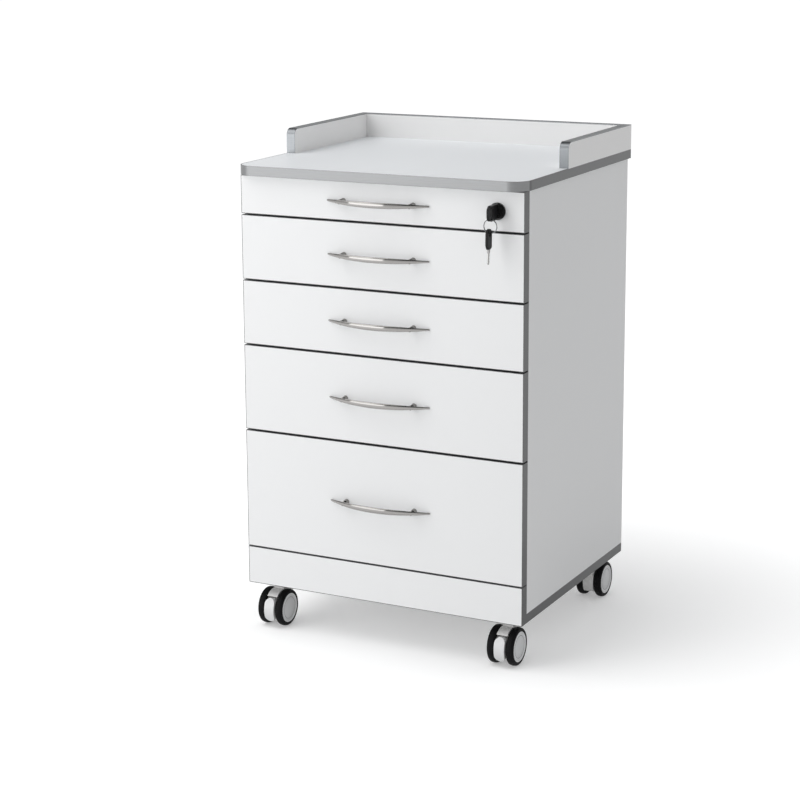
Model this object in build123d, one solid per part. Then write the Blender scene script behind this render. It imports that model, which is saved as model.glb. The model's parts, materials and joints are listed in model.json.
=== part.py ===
from build123d import *
import os
from collections import namedtuple
from math import cos, radians, sin, sqrt

# A mobile five-drawer dental cabinet: a laminate board carcass with grey edge bands, a worktop
# with a three-sided gallery, drawers on telescopic runners, a cam lock in the top drawer with a
# key and a key ring, and four swivelling twin-wheel casters, the front two with brakes.
#
# Millimetres, +Z up, floor at Z = 0. The drawer fronts face -Y and +X is to their right.
# Everything is drawn with the front faces of the drawers in the plane Y = 0, and `write` moves
# it along Y so that the origin lies below the middle of the whole object's box.

os.makedirs("parts", exist_ok=True)

# ---- boards and carcass ----
CABINET_WIDTH = 520.0
CABINET_DEPTH = 451.0  # front faces of the drawers to the rear of the side panels
PANEL = 16.0  # board of the carcass, worktop and gallery
FRONT_PANEL = 18.0  # board of the drawer fronts and the plinth
EDGE_BAND = 1.0
TOP_BAND = 2.0
PLINTH_HEIGHT = 66.0
PLINTH_GAP = 1.5  # plinth to the lowest front
FRONT_GAP = 2.5  # between two fronts
TOP_GAP = 1.5  # top front to the worktop
FRONT_HEIGHTS = (65.0, 110.0, 110.0, 148.0, 208.0)  # from the top drawer down
RAIL_WIDTH = 80.0

# ---- worktop and gallery ----
WORKTOP_FRONT_OVERHANG = 13.0
WORKTOP_SIDE_OVERHANG = 5.0
WORKTOP_REAR_OVERHANG = 2.0
WORKTOP_CORNER_RADIUS = 30.0
GALLERY_HEIGHT = 43.0
GALLERY_SEAT = 0.5  # depth of the rebate that the gallery boards stand in
GALLERY_SETBACK = 166.0  # from the drawer fronts to the gallery's front ends
GALLERY_CORNER_RADIUS = 12.0

# ---- drawer boxes ----
BOX_WALL = 12.0
BOX_SHEET = 5.0
BOX_GROOVE = 6.0  # how far the bottom sheet sits in the walls
BOX_SHEET_LIFT = 8.0  # underside of the sheet above the box's lower edge
BOX_LIFT = 8.0  # box above the lower edge of its front
BOX_RAIL_CLEARANCE = 3.5  # top drawer's box to the rails
BOX_REAR_CLEARANCE = 32.0  # box to the back panel

# ---- telescopic runners ----
RUNNER_REAR_CLEARANCE = 40.0  # runner to the back panel
RUNNER_HEIGHT = 35.0
RUNNER_THICKNESS = 13.0  # side panel to drawer box
RUNNER_STEEL = 1.2
RUNNER_PLAY = 0.4  # between a flange and the one that it slides in
RUNNER_EDGE = 0.5  # runner's lower edge above the box's lower edge
RUNNER_SETBACK = 45.0  # from the drawer fronts to the runner's front end
RUNNER_SCREW_RADIUS = 1.8
RUNNER_SCREW_LENGTH = 11.0
RUNNER_SCREW_INSET = 35.0

# ---- bow handles ----
HANDLE_HOLE_SPACING = 128.0
HANDLE_LENGTH = 187.0
HANDLE_PROJECTION = 28.0
HANDLE_THICKNESS = 5.0  # at the middle of the bow
HANDLE_TIP_THICKNESS = 2.0
HANDLE_TIP_STANDOFF = 1.0
HANDLE_HEIGHT = 10.0  # at the middle of the bow
HANDLE_TIP_HEIGHT = 3.0
HANDLE_POST_RADIUS = 4.0
HANDLE_EDGE_RADIUS = 0.8
HANDLE_SCREW_RADIUS = 2.0
HANDLE_SCREW_BITE = 8.0  # length of screw inside the post
SCREW_HEAD_RADIUS = 4.0
SCREW_HEAD_HEIGHT = 2.5

# ---- lock and keys ----
LOCK_INSET = 46.5  # lock axis from the right-hand edge of the front
ROSETTE_RADIUS = 14.0
ROSETTE_THICKNESS = 3.0
LOCK_NOSE_RADIUS = 11.0
LOCK_NOSE_LENGTH = 2.5
LOCK_BARREL_RADIUS = 9.5
LOCK_PLUG_RADIUS = 6.0
LOCK_FIT = 0.05  # radial clearance of the plug in its barrel
CAM_LENGTH = 24.0  # lock axis to the tip of the cam
CAM_WIDTH = 10.0
CAM_THICKNESS = 2.0
CAM_GAP = 0.5  # barrel to the cam
CAM_NUT_RADIUS = 4.5
CAM_NUT_HEIGHT = 4.0
CAM_PLAY = 2.0  # round the cam in the rail's pocket
KEY_HEAD_LENGTH = 31.0
KEY_HEAD_WIDTH = 25.0
KEY_HEAD_THICKNESS = 5.0
KEY_HEAD_CORNER = 9.0
KEY_HEAD_GAP = 1.0  # lock nose to the head of the inserted key
KEY_BLADE_LENGTH = 26.0
KEY_BLADE_WIDTH = 6.0
KEY_BLADE_THICKNESS = 2.2
KEYWAY_PLAY = 0.1
KEY_EYE_INSET = 9.5  # middle of the slot-shaped eye from the end of the head
KEY_EYE_WIDTH = 8.0
KEY_EYE_LENGTH = 20.4
RING_RADIUS = 11.2  # middle of the wire
RING_WIRE_RADIUS = 0.8
RING_PLAY = 0.3  # wire to the edge of an eye

# ---- casters ----
CASTER_HEIGHT = 80.0
CASTER_SIDE_INSET = 40.0  # swivel axis from the side of the cabinet
CASTER_END_INSET = 50.0  # swivel axis from the drawer fronts, and from the rear
CASTER_TRAIL = 20.0  # axle from the swivel axis
CASTER_WIDTH = 48.0
WHEEL_DIAMETER = 65.0
WHEEL_WIDTH = 14.0
TYRE_SHOULDER = 4.5
TYRE_THICKNESS = 6.0
WHEEL_CORE_INSET = 0.8  # outer face of the core behind the face of the tyre
CORE_RIM = 2.0
CORE_DISH_DEPTH = 0.8
AXLE_RADIUS = 4.0
AXLE_SOCKET = 10.0
AXLE_END_PLAY = 0.5
SHAFT_FIT = 0.05  # radial running clearance on axles and pins
HOOD_INSET = 1.5  # hood's rim inside the tyre's tread
HOOD_PLAY = 0.4  # hood to each wheel
HOOD_CLEARANCE = 14.0  # underside of the hood above the floor
SWIVEL_HEAD_RADIUS = 17.0
SWIVEL_HEAD_LIFT = 1.5  # swivel head above the tyres
SWIVEL_GAP = 0.5  # swivel head to the plate
SWIVEL_PIN_RADIUS = 5.0
SWIVEL_PIN_LENGTH = 25.0
NECK_LENGTH = 32.0
CASTER_PLATE = 60.0
CASTER_PLATE_THICKNESS = 2.5
CASTER_SCREW_SPACING = 46.0
CASTER_SCREW_LENGTH = 13.0
CASTER_SCREW_RADIUS = 2.2

# ---- brake pedals ----
PEDAL_SIDE_GAP = 0.8  # pedal to the wheel on each side
PEDAL_THICKNESS = 6.0
PEDAL_PROUD = 2.5  # outer face of the pedal in front of the hood
PEDAL_TOP = 54.0  # above the floor
PEDAL_BOTTOM = 12.0
PEDAL_TRAVEL_ROOM = 7.0  # behind the pedal
PEDAL_PIVOT_DEPTH = 1.0  # pivot in front of the pedal's inner face
PEDAL_PIVOT_ANGLE = 33.0  # above the horizontal through the axle
PEDAL_PIN_RADIUS = 1.5
PEDAL_LUG_RADIUS = 3.2
PEDAL_LUG_WIDTH = 6.0
PEDAL_LUG_PLAY = 0.5
PEDAL_HEADROOM = 1.5  # pedal's top to the hood

# ---- screws that hold the carcass ----
CARCASS_SCREW_RADIUS = 2.5
CARCASS_SCREW_HEAD_RADIUS = 4.5
CARCASS_SCREW_HEAD_HEIGHT = 3.0
CARCASS_SCREW_BITE = 34.0  # into the edge of a standing board
WORKTOP_SCREW_BITE = 10.0
GALLERY_SCREW_BITE = 25.0
CARCASS_SCREW_INSET = 85.0

# ---- levels and places worked out from the sizes above ----
half_width = CABINET_WIDTH / 2
inner_half_width = half_width - PANEL
base_top = CASTER_HEIGHT + PANEL
carcass_top = (
    CASTER_HEIGHT
    + PLINTH_HEIGHT
    + PLINTH_GAP
    + sum(FRONT_HEIGHTS)
    + FRONT_GAP * (len(FRONT_HEIGHTS) - 1)
    + TOP_GAP
)
worktop_top = carcass_top + PANEL
gallery_top = worktop_top + GALLERY_HEIGHT
worktop_half_width = half_width + WORKTOP_SIDE_OVERHANG
worktop_rear = CABINET_DEPTH + WORKTOP_REAR_OVERHANG
rail_underside = carcass_top - PANEL
box_half_width = inner_half_width - RUNNER_THICKNESS
back_panel_face = CABINET_DEPTH - PANEL
box_headroom = PANEL - TOP_GAP + BOX_RAIL_CLEARANCE  # box below the upper edge of its front
box_rear = back_panel_face - BOX_REAR_CLEARANCE
subfront_rear = FRONT_PANEL + BOX_WALL
runner_rear = back_panel_face - RUNNER_REAR_CLEARANCE

Drawer = namedtuple("Drawer", "number low high")


def drawer_levels():
    """The lower and upper edge of each drawer front, from the top drawer down."""
    levels = []
    high = carcass_top - TOP_GAP
    for number, height in enumerate(FRONT_HEIGHTS, start=1):
        levels.append(Drawer(number, high - height, high))
        high -= height + FRONT_GAP
    return levels


drawers = drawer_levels()
top_drawer = drawers[0]

lock_x = half_width - LOCK_INSET
lock_z = (top_drawer.low + top_drawer.high) / 2
nose_face = -ROSETTE_THICKNESS - LOCK_NOSE_LENGTH
cam_front = subfront_rear + CAM_GAP
cam_nut_rear = cam_front + CAM_THICKNESS + CAM_NUT_HEIGHT
key_head_inner = nose_face - KEY_HEAD_GAP
key_head_outer = key_head_inner - KEY_HEAD_LENGTH
ring_y = key_head_outer + KEY_EYE_INSET
eye_contact = KEY_EYE_LENGTH / 2 - RING_WIRE_RADIUS - RING_PLAY  # lock axis down to the wire
ring_z = lock_z - eye_contact - RING_RADIUS

wheel_radius = WHEEL_DIAMETER / 2
wheel_core_radius = wheel_radius - TYRE_THICKNESS
wheel_inner_face = CASTER_WIDTH / 2 - WHEEL_WIDTH
hood_radius = wheel_radius - HOOD_INSET
hood_half_width = wheel_inner_face - HOOD_PLAY
plate_underside = CASTER_HEIGHT - CASTER_PLATE_THICKNESS
swivel_head_low = WHEEL_DIAMETER + SWIVEL_HEAD_LIFT
swivel_pin_low = plate_underside - SWIVEL_PIN_LENGTH
pedal_half_width = wheel_inner_face - PEDAL_SIDE_GAP
pedal_outer = hood_radius + PEDAL_PROUD
pedal_inner = pedal_outer - PEDAL_THICKNESS
pedal_room = pedal_inner - PEDAL_TRAVEL_ROOM
pivot_radius = pedal_inner + PEDAL_PIVOT_DEPTH
pivot_y = -CASTER_TRAIL - pivot_radius * cos(radians(PEDAL_PIVOT_ANGLE))
pivot_z = wheel_radius + pivot_radius * sin(radians(PEDAL_PIVOT_ANGLE))

Caster = namedtuple("Caster", "name x y turn braked")
caster_x = half_width - CASTER_SIDE_INSET
caster_rear_y = CABINET_DEPTH - CASTER_END_INSET
wheel_reach = CASTER_TRAIL + wheel_radius
casters = (
    Caster("caster_front_left", -caster_x, CASTER_END_INSET, 0, True),
    Caster("caster_front_right", caster_x, CASTER_END_INSET, 0, True),
    Caster("caster_rear_left", -caster_x, caster_rear_y, 180, False),
    Caster("caster_rear_right", caster_x, caster_rear_y, 180, False),
)

front_reach = max(
    HANDLE_PROJECTION,
    WORKTOP_FRONT_OVERHANG,
    -key_head_outer,
    wheel_reach - CASTER_END_INSET,
)
rear_reach = max(worktop_rear, caster_rear_y + wheel_reach)
origin_y = (rear_reach - front_reach) / 2


# ---- helpers ----
def block(x, y, z):
    """A box between the low and high coordinate of each axis."""
    spans = (x, y, z)
    centre = [(low + high) / 2 for low, high in spans]
    return Pos(*centre) * Box(*[high - low for low, high in spans])


def rod_x(radius, low, high, y, z):
    return Pos((low + high) / 2, y, z) * Rot(0, 90, 0) * Cylinder(radius, high - low)


def rod_y(radius, low, high, x, z):
    return Pos(x, (low + high) / 2, z) * Rot(90, 0, 0) * Cylinder(radius, high - low)


def rod_z(radius, low, high, x, y):
    return Pos(x, y, (low + high) / 2) * Cylinder(radius, high - low)


def mirrored(part):
    """The same piece on the other side of the plane X = 0."""
    return mirror(part, about=Plane.YZ)


def write(name, *pieces):
    solids = [s for piece in pieces for s in piece.solids()]
    placed = [Pos(0, -origin_y, 0) * s for s in solids]
    export_step(Compound(placed), f"parts/{name}.step")


# ---- screws ----
def screw_up(x, y, head_z, head_room, tip_z):
    """A carcass screw that points up, with its head sunk into the board below."""
    head = rod_z(CARCASS_SCREW_HEAD_RADIUS, head_z, head_z + head_room, x, y)
    return head + rod_z(CARCASS_SCREW_RADIUS, head_z, tip_z, x, y)


def along_depth(inset):
    """Two places along the cabinet's depth, as far from the carcass's front as from its rear."""
    return (FRONT_PANEL + inset, CABINET_DEPTH - inset)


def carcass_screws():
    """Up through the base into the sides, and up through the rails and worktop."""
    side_x = half_width - PANEL / 2
    screws = []
    for x in (-side_x, side_x):
        for y in along_depth(CARCASS_SCREW_INSET):
            tip = base_top + CARCASS_SCREW_BITE
            screws.append(screw_up(x, y, CASTER_HEIGHT, CARCASS_SCREW_HEAD_HEIGHT, tip))
    rail_x = inner_half_width - CARCASS_SCREW_INSET
    for x in (-rail_x, rail_x):
        for y in rail_middles():
            tip = carcass_top + WORKTOP_SCREW_BITE
            screws.append(screw_up(x, y, rail_underside, CARCASS_SCREW_HEAD_HEIGHT, tip))
    return screws


def gallery_screws():
    """Up through the worktop into the gallery, with heads flush under the worktop."""
    tip = worktop_top + GALLERY_SCREW_BITE
    side_x = worktop_half_width - PANEL / 2
    rear_y = worktop_rear - PANEL / 2
    rear_x = inner_half_width - CARCASS_SCREW_INSET
    side_y = (GALLERY_SETBACK + CARCASS_SCREW_INSET, rear_y - CARCASS_SCREW_INSET)
    places = [(x, y) for x in (-side_x, side_x) for y in side_y]
    places += [(x, rear_y) for x in (-rear_x, rear_x)]
    return [screw_up(x, y, carcass_top, CARCASS_SCREW_HEAD_HEIGHT, tip) for x, y in places]


# ---- carcass ----
def rail_middles():
    front = FRONT_PANEL + EDGE_BAND + RAIL_WIDTH / 2
    rear = back_panel_face - RAIL_WIDTH / 2
    return (front, rear)


def side_panel():
    x = (inner_half_width, half_width)
    y = (FRONT_PANEL + EDGE_BAND, CABINET_DEPTH)
    return block(x, y, (base_top, carcass_top))


def back_panel():
    x = (-inner_half_width, inner_half_width)
    return block(x, (back_panel_face, CABINET_DEPTH), (base_top, carcass_top))


def bottom_board():
    edge = half_width - EDGE_BAND
    return block((-edge, edge), (FRONT_PANEL, CABINET_DEPTH), (CASTER_HEIGHT, base_top))


def top_rails():
    """Two flat rails below the worktop. The front one has the pocket that the cam locks into."""
    x = (-inner_half_width, inner_half_width)
    z = (rail_underside, carcass_top)
    rails = []
    for middle in rail_middles():
        rails.append(block(x, (middle - RAIL_WIDTH / 2, middle + RAIL_WIDTH / 2), z))
    rails[0] -= cam_pocket()
    return rails


def cam_pocket():
    swing = sqrt(CAM_LENGTH**2 + (CAM_WIDTH / 2) ** 2)
    entry = sqrt(swing**2 - (rail_underside - lock_z) ** 2)
    x = (lock_x - entry - CAM_PLAY, lock_x + CAM_WIDTH / 2 + CAM_PLAY)
    y = (cam_front - CAM_PLAY, cam_front + CAM_THICKNESS + CAM_PLAY)
    return block(x, y, (rail_underside, lock_z + swing + CAM_PLAY))


def banded_board(low, high):
    """A front board over the full width: the board itself, and the band round its four edges."""
    y = (0, FRONT_PANEL)
    whole = block((-half_width, half_width), y, (low, high))
    edge = half_width - EDGE_BAND
    board = block((-edge, edge), y, (low + EDGE_BAND, high - EDGE_BAND))
    return board, whole - board


def panel_bands():
    """Bands on the front edges of the sides, the ends of the base and the gallery's edges."""
    bands = []
    for side in (-1, 1):
        x = sorted((side * inner_half_width, side * half_width))
        bands.append(block(x, (FRONT_PANEL, FRONT_PANEL + EDGE_BAND), (base_top, carcass_top)))
        x = sorted((side * half_width, side * (half_width - EDGE_BAND)))
        bands.append(block(x, (FRONT_PANEL, CABINET_DEPTH), (CASTER_HEIGHT, base_top)))
    band = gallery_side_outline(0) - gallery_side_outline(EDGE_BAND)
    bands += [band, mirrored(band)]
    inner = worktop_half_width - PANEL
    y = (worktop_rear - PANEL, worktop_rear)
    bands.append(block((-inner, inner), y, (gallery_top - EDGE_BAND, gallery_top)))
    return bands


# ---- worktop and gallery ----
def worktop_outline(inset):
    """The worktop, drawn in by inset all round, with its two front corners rounded."""
    half = worktop_half_width - inset
    y = (-WORKTOP_FRONT_OVERHANG + inset, worktop_rear - inset)
    slab = block((-half, half), y, (carcass_top, worktop_top))
    front_corners = slab.edges().filter_by(Axis.Z).group_by(Axis.Y)[0]
    return fillet(front_corners, WORKTOP_CORNER_RADIUS - inset)


def gallery_side_outline(inset):
    """The right-hand gallery board, drawn in by inset at its front end and its top."""
    x = (worktop_half_width - PANEL, worktop_half_width)
    y = (GALLERY_SETBACK + inset, worktop_rear)
    slab = block(x, y, (worktop_top - GALLERY_SEAT, gallery_top - inset))
    corner = slab.edges().filter_by(Axis.X).group_by(Axis.Z)[-1].sort_by(Axis.Y)[0]
    return fillet(corner, GALLERY_CORNER_RADIUS - inset)


def gallery_back():
    inner = worktop_half_width - PANEL
    y = (worktop_rear - PANEL, worktop_rear)
    return block((-inner, inner), y, (worktop_top - GALLERY_SEAT, gallery_top - EDGE_BAND))


def gallery_seats():
    """The room that the three gallery boards take out of the worktop."""
    side = gallery_side_outline(0)
    return [side, mirrored(side), gallery_back()]


# ---- runners, drawn on the right-hand side ----
def channel(offset, reach, half_height, y):
    """A steel channel: a web at offset from the side panel, and flanges over the reach."""
    inside = inner_half_width
    web = block(
        (inside - offset - RUNNER_STEEL, inside - offset), y, (-half_height, half_height)
    )
    flanges = []
    for side in (-1, 1):
        z = sorted((side * half_height, side * (half_height - RUNNER_STEEL)))
        flanges.append(block((inside - reach[1], inside - reach[0]), y, z))
    return web + flanges


def runner_middle_height():
    return RUNNER_HEIGHT / 2 - RUNNER_STEEL - RUNNER_PLAY


def runner_cabinet_member():
    reach = (0, RUNNER_THICKNESS - 2 * RUNNER_STEEL - 3 * RUNNER_PLAY)
    return channel(0, reach, RUNNER_HEIGHT / 2, (RUNNER_SETBACK, runner_rear))


def runner_middle_member():
    """Slides inside the cabinet member and round the drawer member."""
    web_offset = (RUNNER_THICKNESS - RUNNER_STEEL) / 2
    edge = RUNNER_STEEL + RUNNER_PLAY
    reach = (edge, RUNNER_THICKNESS - edge)
    return channel(web_offset, reach, runner_middle_height(), (RUNNER_SETBACK, runner_rear))


def runner_drawer_member():
    web_offset = RUNNER_THICKNESS - RUNNER_STEEL
    reach = ((RUNNER_THICKNESS + RUNNER_STEEL) / 2 + RUNNER_PLAY, RUNNER_THICKNESS)
    half_height = runner_middle_height() - RUNNER_STEEL - RUNNER_PLAY
    return channel(web_offset, reach, half_height, (RUNNER_SETBACK, runner_rear))


def runner_screw_places():
    return (RUNNER_SETBACK + RUNNER_SCREW_INSET, runner_rear - RUNNER_SCREW_INSET)


def runner_panel_screws():
    """Through the cabinet member's web into the side panel."""
    x = (inner_half_width - RUNNER_STEEL, inner_half_width + RUNNER_SCREW_LENGTH)
    return [rod_x(RUNNER_SCREW_RADIUS, *x, y, 0) for y in runner_screw_places()]


def runner_box_screws():
    """Through the drawer member's web into the wall of the box."""
    x = (box_half_width - RUNNER_SCREW_LENGTH, box_half_width + RUNNER_STEEL)
    return [rod_x(RUNNER_SCREW_RADIUS, *x, y, 0) for y in runner_screw_places()]


def runner_level(drawer):
    """The centre line of a drawer's runners."""
    return drawer.low + BOX_LIFT + RUNNER_EDGE + RUNNER_HEIGHT / 2


def runner_pair(parts, level):
    """The parts of one side, raised to their level, and the same parts on the other side."""
    right = [Pos(0, 0, level) * part for part in parts]
    return right + [mirrored(part) for part in right]


def screwed_member(member, screws):
    for screw in screws:
        member -= screw
    return [member] + screws


# ---- drawer boxes ----
def box_sheet(drawer):
    """The bottom sheet, which sits in grooves in all four walls."""
    low = drawer.low + BOX_LIFT + BOX_SHEET_LIFT
    edge = box_half_width - BOX_WALL + BOX_GROOVE
    y = (subfront_rear - BOX_GROOVE, box_rear - BOX_WALL + BOX_GROOVE)
    return block((-edge, edge), y, (low, low + BOX_SHEET))


def box_walls(drawer):
    z = (drawer.low + BOX_LIFT, drawer.high - box_headroom)
    inner = box_half_width - BOX_WALL
    side = block((inner, box_half_width), (FRONT_PANEL, box_rear), z)
    subfront = block((-inner, inner), (FRONT_PANEL, subfront_rear), z)
    back = block((-inner, inner), (box_rear - BOX_WALL, box_rear), z)
    return [side, mirrored(side), subfront, back]


def drawer_box(drawer):
    sheet = box_sheet(drawer)
    cuts = [sheet] + runner_pair(runner_box_screws(), runner_level(drawer))
    cuts += handle_screw_bores(drawer)
    if drawer is top_drawer:
        cuts.append(rod_y(LOCK_BARREL_RADIUS, 0, cam_nut_rear + CAM_PLAY, lock_x, lock_z))
    walls = box_walls(drawer)
    for cut in cuts:
        walls = [wall - cut for wall in walls]
    return walls + [sheet]


# ---- handles ----
def front_middle(drawer):
    return (drawer.low + drawer.high) / 2


def handle_post_places(drawer):
    z = front_middle(drawer)
    return [(x, z) for x in (-HANDLE_HOLE_SPACING / 2, HANDLE_HOLE_SPACING / 2)]


def handle_screw_bores(drawer):
    return [
        rod_y(HANDLE_SCREW_RADIUS, -HANDLE_SCREW_BITE, subfront_rear, x, z)
        for x, z in handle_post_places(drawer)
    ]


def bow_line(tip_y, middle_y):
    """An arc in plan, from the left tip over the middle of the bow to the right tip."""
    half = HANDLE_LENGTH / 2
    return ThreePointArc((-half, tip_y), (0, middle_y), (half, tip_y))


def bow_solid():
    """The bow in plan, which stands out from the front, cut to a leaf shape in elevation."""
    tip_back = -HANDLE_TIP_STANDOFF
    tip_front = tip_back - HANDLE_TIP_THICKNESS
    outer = bow_line(tip_front, -HANDLE_PROJECTION)
    inner = bow_line(tip_back, -HANDLE_PROJECTION + HANDLE_THICKNESS)
    ends = [Line(outer @ end, inner @ end) for end in (0, 1)]
    plan = make_face([outer, inner] + ends)
    band = Pos(0, 0, -HANDLE_HEIGHT) * extrude(plan, 2 * HANDLE_HEIGHT, dir=(0, 0, 1))

    half = HANDLE_LENGTH / 2
    tip = HANDLE_TIP_HEIGHT / 2
    upper = ThreePointArc((-half, tip), (0, HANDLE_HEIGHT / 2), (half, tip))
    lower = ThreePointArc((-half, -tip), (0, -HANDLE_HEIGHT / 2), (half, -tip))
    ends = [Line(upper @ end, lower @ end) for end in (0, 1)]
    leaf = Rot(90, 0, 0) * make_face([upper, lower] + ends)
    bow = band & extrude(leaf, 2 * HANDLE_PROJECTION, dir=(0, -1, 0))
    long_edges = bow.edges().filter_by(lambda edge: edge.length > half)
    return fillet(long_edges, HANDLE_EDGE_RADIUS)


def handle_post():
    """A post from the front to inside the bow, at the right-hand hole."""
    x = HANDLE_HOLE_SPACING / 2
    reach = HANDLE_PROJECTION
    post = rod_y(HANDLE_POST_RADIUS, -reach, 0, x, 0)
    outside = block(
        (0, HANDLE_LENGTH), (-2 * reach, 0), (-HANDLE_HEIGHT, HANDLE_HEIGHT)
    )
    behind = outside - bow_backing()
    return post - behind


def bow_backing():
    """The space between the drawer front and the middle of the bow's thickness."""
    half = HANDLE_LENGTH / 2
    middle = HANDLE_THICKNESS / 2
    arc = bow_line(
        -HANDLE_TIP_STANDOFF - HANDLE_TIP_THICKNESS / 2, -HANDLE_PROJECTION + middle
    )
    corners = [Line(arc @ 1, (half, 0)), Line((half, 0), (-half, 0)), Line((-half, 0), arc @ 0)]
    plan = make_face([arc] + corners)
    return Pos(0, 0, -HANDLE_HEIGHT) * extrude(plan, 2 * HANDLE_HEIGHT, dir=(0, 0, 1))


def handle(drawer):
    post = handle_post()
    casting = Pos(0, 0, front_middle(drawer)) * (bow_solid() + post + mirrored(post))
    screws = []
    for bore, (x, z) in zip(handle_screw_bores(drawer), handle_post_places(drawer)):
        casting -= bore
        head = (subfront_rear, subfront_rear + SCREW_HEAD_HEIGHT)
        screws.append(bore + rod_y(SCREW_HEAD_RADIUS, *head, x, z))
    return [casting] + screws


def drawer_front(drawer):
    board, band = banded_board(drawer.low, drawer.high)
    for bore in handle_screw_bores(drawer):
        board -= bore
    if drawer is top_drawer:
        board -= rod_y(LOCK_BARREL_RADIUS, 0, FRONT_PANEL, lock_x, lock_z)
    return board, band


# ---- lock and keys ----
def lock_barrel():
    body = rod_y(LOCK_BARREL_RADIUS, 0, subfront_rear, lock_x, lock_z)
    rosette = rod_y(ROSETTE_RADIUS, -ROSETTE_THICKNESS, 0, lock_x, lock_z)
    nose = rod_y(LOCK_NOSE_RADIUS, nose_face, -ROSETTE_THICKNESS, lock_x, lock_z)
    bore = rod_y(LOCK_PLUG_RADIUS + LOCK_FIT, nose_face, subfront_rear, lock_x, lock_z)
    return body + rosette + nose - bore


def keyway():
    half_thickness = KEY_BLADE_THICKNESS / 2 + KEYWAY_PLAY
    half_height = KEY_BLADE_WIDTH / 2 + KEYWAY_PLAY
    y = (nose_face, key_head_inner + KEY_BLADE_LENGTH + KEYWAY_PLAY)
    x = (lock_x - half_thickness, lock_x + half_thickness)
    return block(x, y, (lock_z - half_height, lock_z + half_height))


def lock_plug():
    return rod_y(LOCK_PLUG_RADIUS, nose_face, cam_front, lock_x, lock_z) - keyway()


def lock_cam():
    """The tongue on the rear of the plug. It points left when the drawer is unlocked."""
    y = (cam_front, cam_front + CAM_THICKNESS)
    half = CAM_WIDTH / 2
    tongue = block((lock_x - CAM_LENGTH, lock_x + half), y, (lock_z - half, lock_z + half))
    nut = rod_y(CAM_NUT_RADIUS, y[1], cam_nut_rear, lock_x, lock_z)
    return tongue + nut


def key():
    """The key in the lock, drawn with the root of its blade at the origin and then placed."""
    head = block(
        (-KEY_HEAD_THICKNESS / 2, KEY_HEAD_THICKNESS / 2),
        (-KEY_HEAD_LENGTH, 0),
        (-KEY_HEAD_WIDTH / 2, KEY_HEAD_WIDTH / 2),
    )
    head = fillet(head.edges().filter_by(Axis.X), KEY_HEAD_CORNER)
    eye_y = -KEY_HEAD_LENGTH + KEY_EYE_INSET
    end_z = (KEY_EYE_LENGTH - KEY_EYE_WIDTH) / 2
    half = KEY_HEAD_THICKNESS
    eye_sides = (eye_y - KEY_EYE_WIDTH / 2, eye_y + KEY_EYE_WIDTH / 2)
    eye = block((-half, half), eye_sides, (-end_z, end_z))
    for z in (-end_z, end_z):
        eye += rod_x(KEY_EYE_WIDTH / 2, -half, half, eye_y, z)
    blade = block(
        (-KEY_BLADE_THICKNESS / 2, KEY_BLADE_THICKNESS / 2),
        (0, KEY_BLADE_LENGTH),
        (-KEY_BLADE_WIDTH / 2, KEY_BLADE_WIDTH / 2),
    )
    return [Pos(lock_x, key_head_inner, lock_z) * piece for piece in (head - eye, blade)]


def key_ring():
    return Pos(lock_x, ring_y, ring_z) * Rot(90, 0, 0) * Torus(RING_RADIUS, RING_WIRE_RADIUS)


# ---- casters, drawn about the swivel axis with the axle in front of it ----
def caster_plate():
    half = CASTER_PLATE / 2
    plate = block((-half, half), (-half, half), (plate_underside, CASTER_HEIGHT))
    pin = rod_z(SWIVEL_PIN_RADIUS, swivel_pin_low, plate_underside, 0, 0)
    screws = caster_screws()
    for screw in screws:
        plate -= screw
    return [plate, pin] + screws


def caster_screws():
    reach = CASTER_SCREW_SPACING / 2
    top = plate_underside + CASTER_SCREW_LENGTH
    places = [(x, y) for x in (-reach, reach) for y in (-reach, reach)]
    return [rod_z(CASTER_SCREW_RADIUS, plate_underside, top, x, y) for x, y in places]


def caster_housing(braked):
    """The hood between the wheels, its neck and the round swivel head."""
    half = hood_half_width
    hood = rod_x(hood_radius, -half, half, -CASTER_TRAIL, wheel_radius)
    low = (0, HOOD_CLEARANCE)
    reach = CASTER_TRAIL + WHEEL_DIAMETER
    hood -= block((-half, half), (-reach, reach), low)
    neck_y = (-NECK_LENGTH / 2, NECK_LENGTH / 2)
    hood += block((-half, half), neck_y, (swivel_pin_low - SWIVEL_PIN_RADIUS, swivel_head_low))
    head_top = plate_underside - SWIVEL_GAP
    hood += rod_z(SWIVEL_HEAD_RADIUS, swivel_head_low, head_top, 0, 0)
    bore = SWIVEL_PIN_RADIUS + SHAFT_FIT
    hood -= rod_z(bore, swivel_pin_low - SWIVEL_GAP, head_top, 0, 0)
    if braked:
        hood -= pedal_pocket()
        hood += pedal_lug()
    axle_length = wheel_inner_face + AXLE_SOCKET - AXLE_END_PLAY
    axle = rod_x(AXLE_RADIUS, -axle_length, axle_length, -CASTER_TRAIL, wheel_radius)
    return [hood - axle, axle]


def pedal_pocket():
    reach = CASTER_TRAIL + pedal_outer
    z = (0, PEDAL_TOP + PEDAL_HEADROOM)
    front = block((-CASTER_WIDTH, CASTER_WIDTH), (-reach, -CASTER_TRAIL), z)
    core = rod_x(pedal_room, -CASTER_WIDTH, CASTER_WIDTH, -CASTER_TRAIL, wheel_radius)
    return front - core


def pedal_lug():
    """Carries the pedal's pin in front of the hood's core."""
    half = PEDAL_LUG_WIDTH / 2
    lug = rod_x(PEDAL_LUG_RADIUS, -half, half, pivot_y, pivot_z)
    y = (pivot_y, -CASTER_TRAIL)
    lug += block((-half, half), y, (pivot_z - PEDAL_LUG_RADIUS, pivot_z + PEDAL_LUG_RADIUS))
    return lug - rod_x(PEDAL_PIN_RADIUS + SHAFT_FIT, -half, half, pivot_y, pivot_z)


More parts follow.
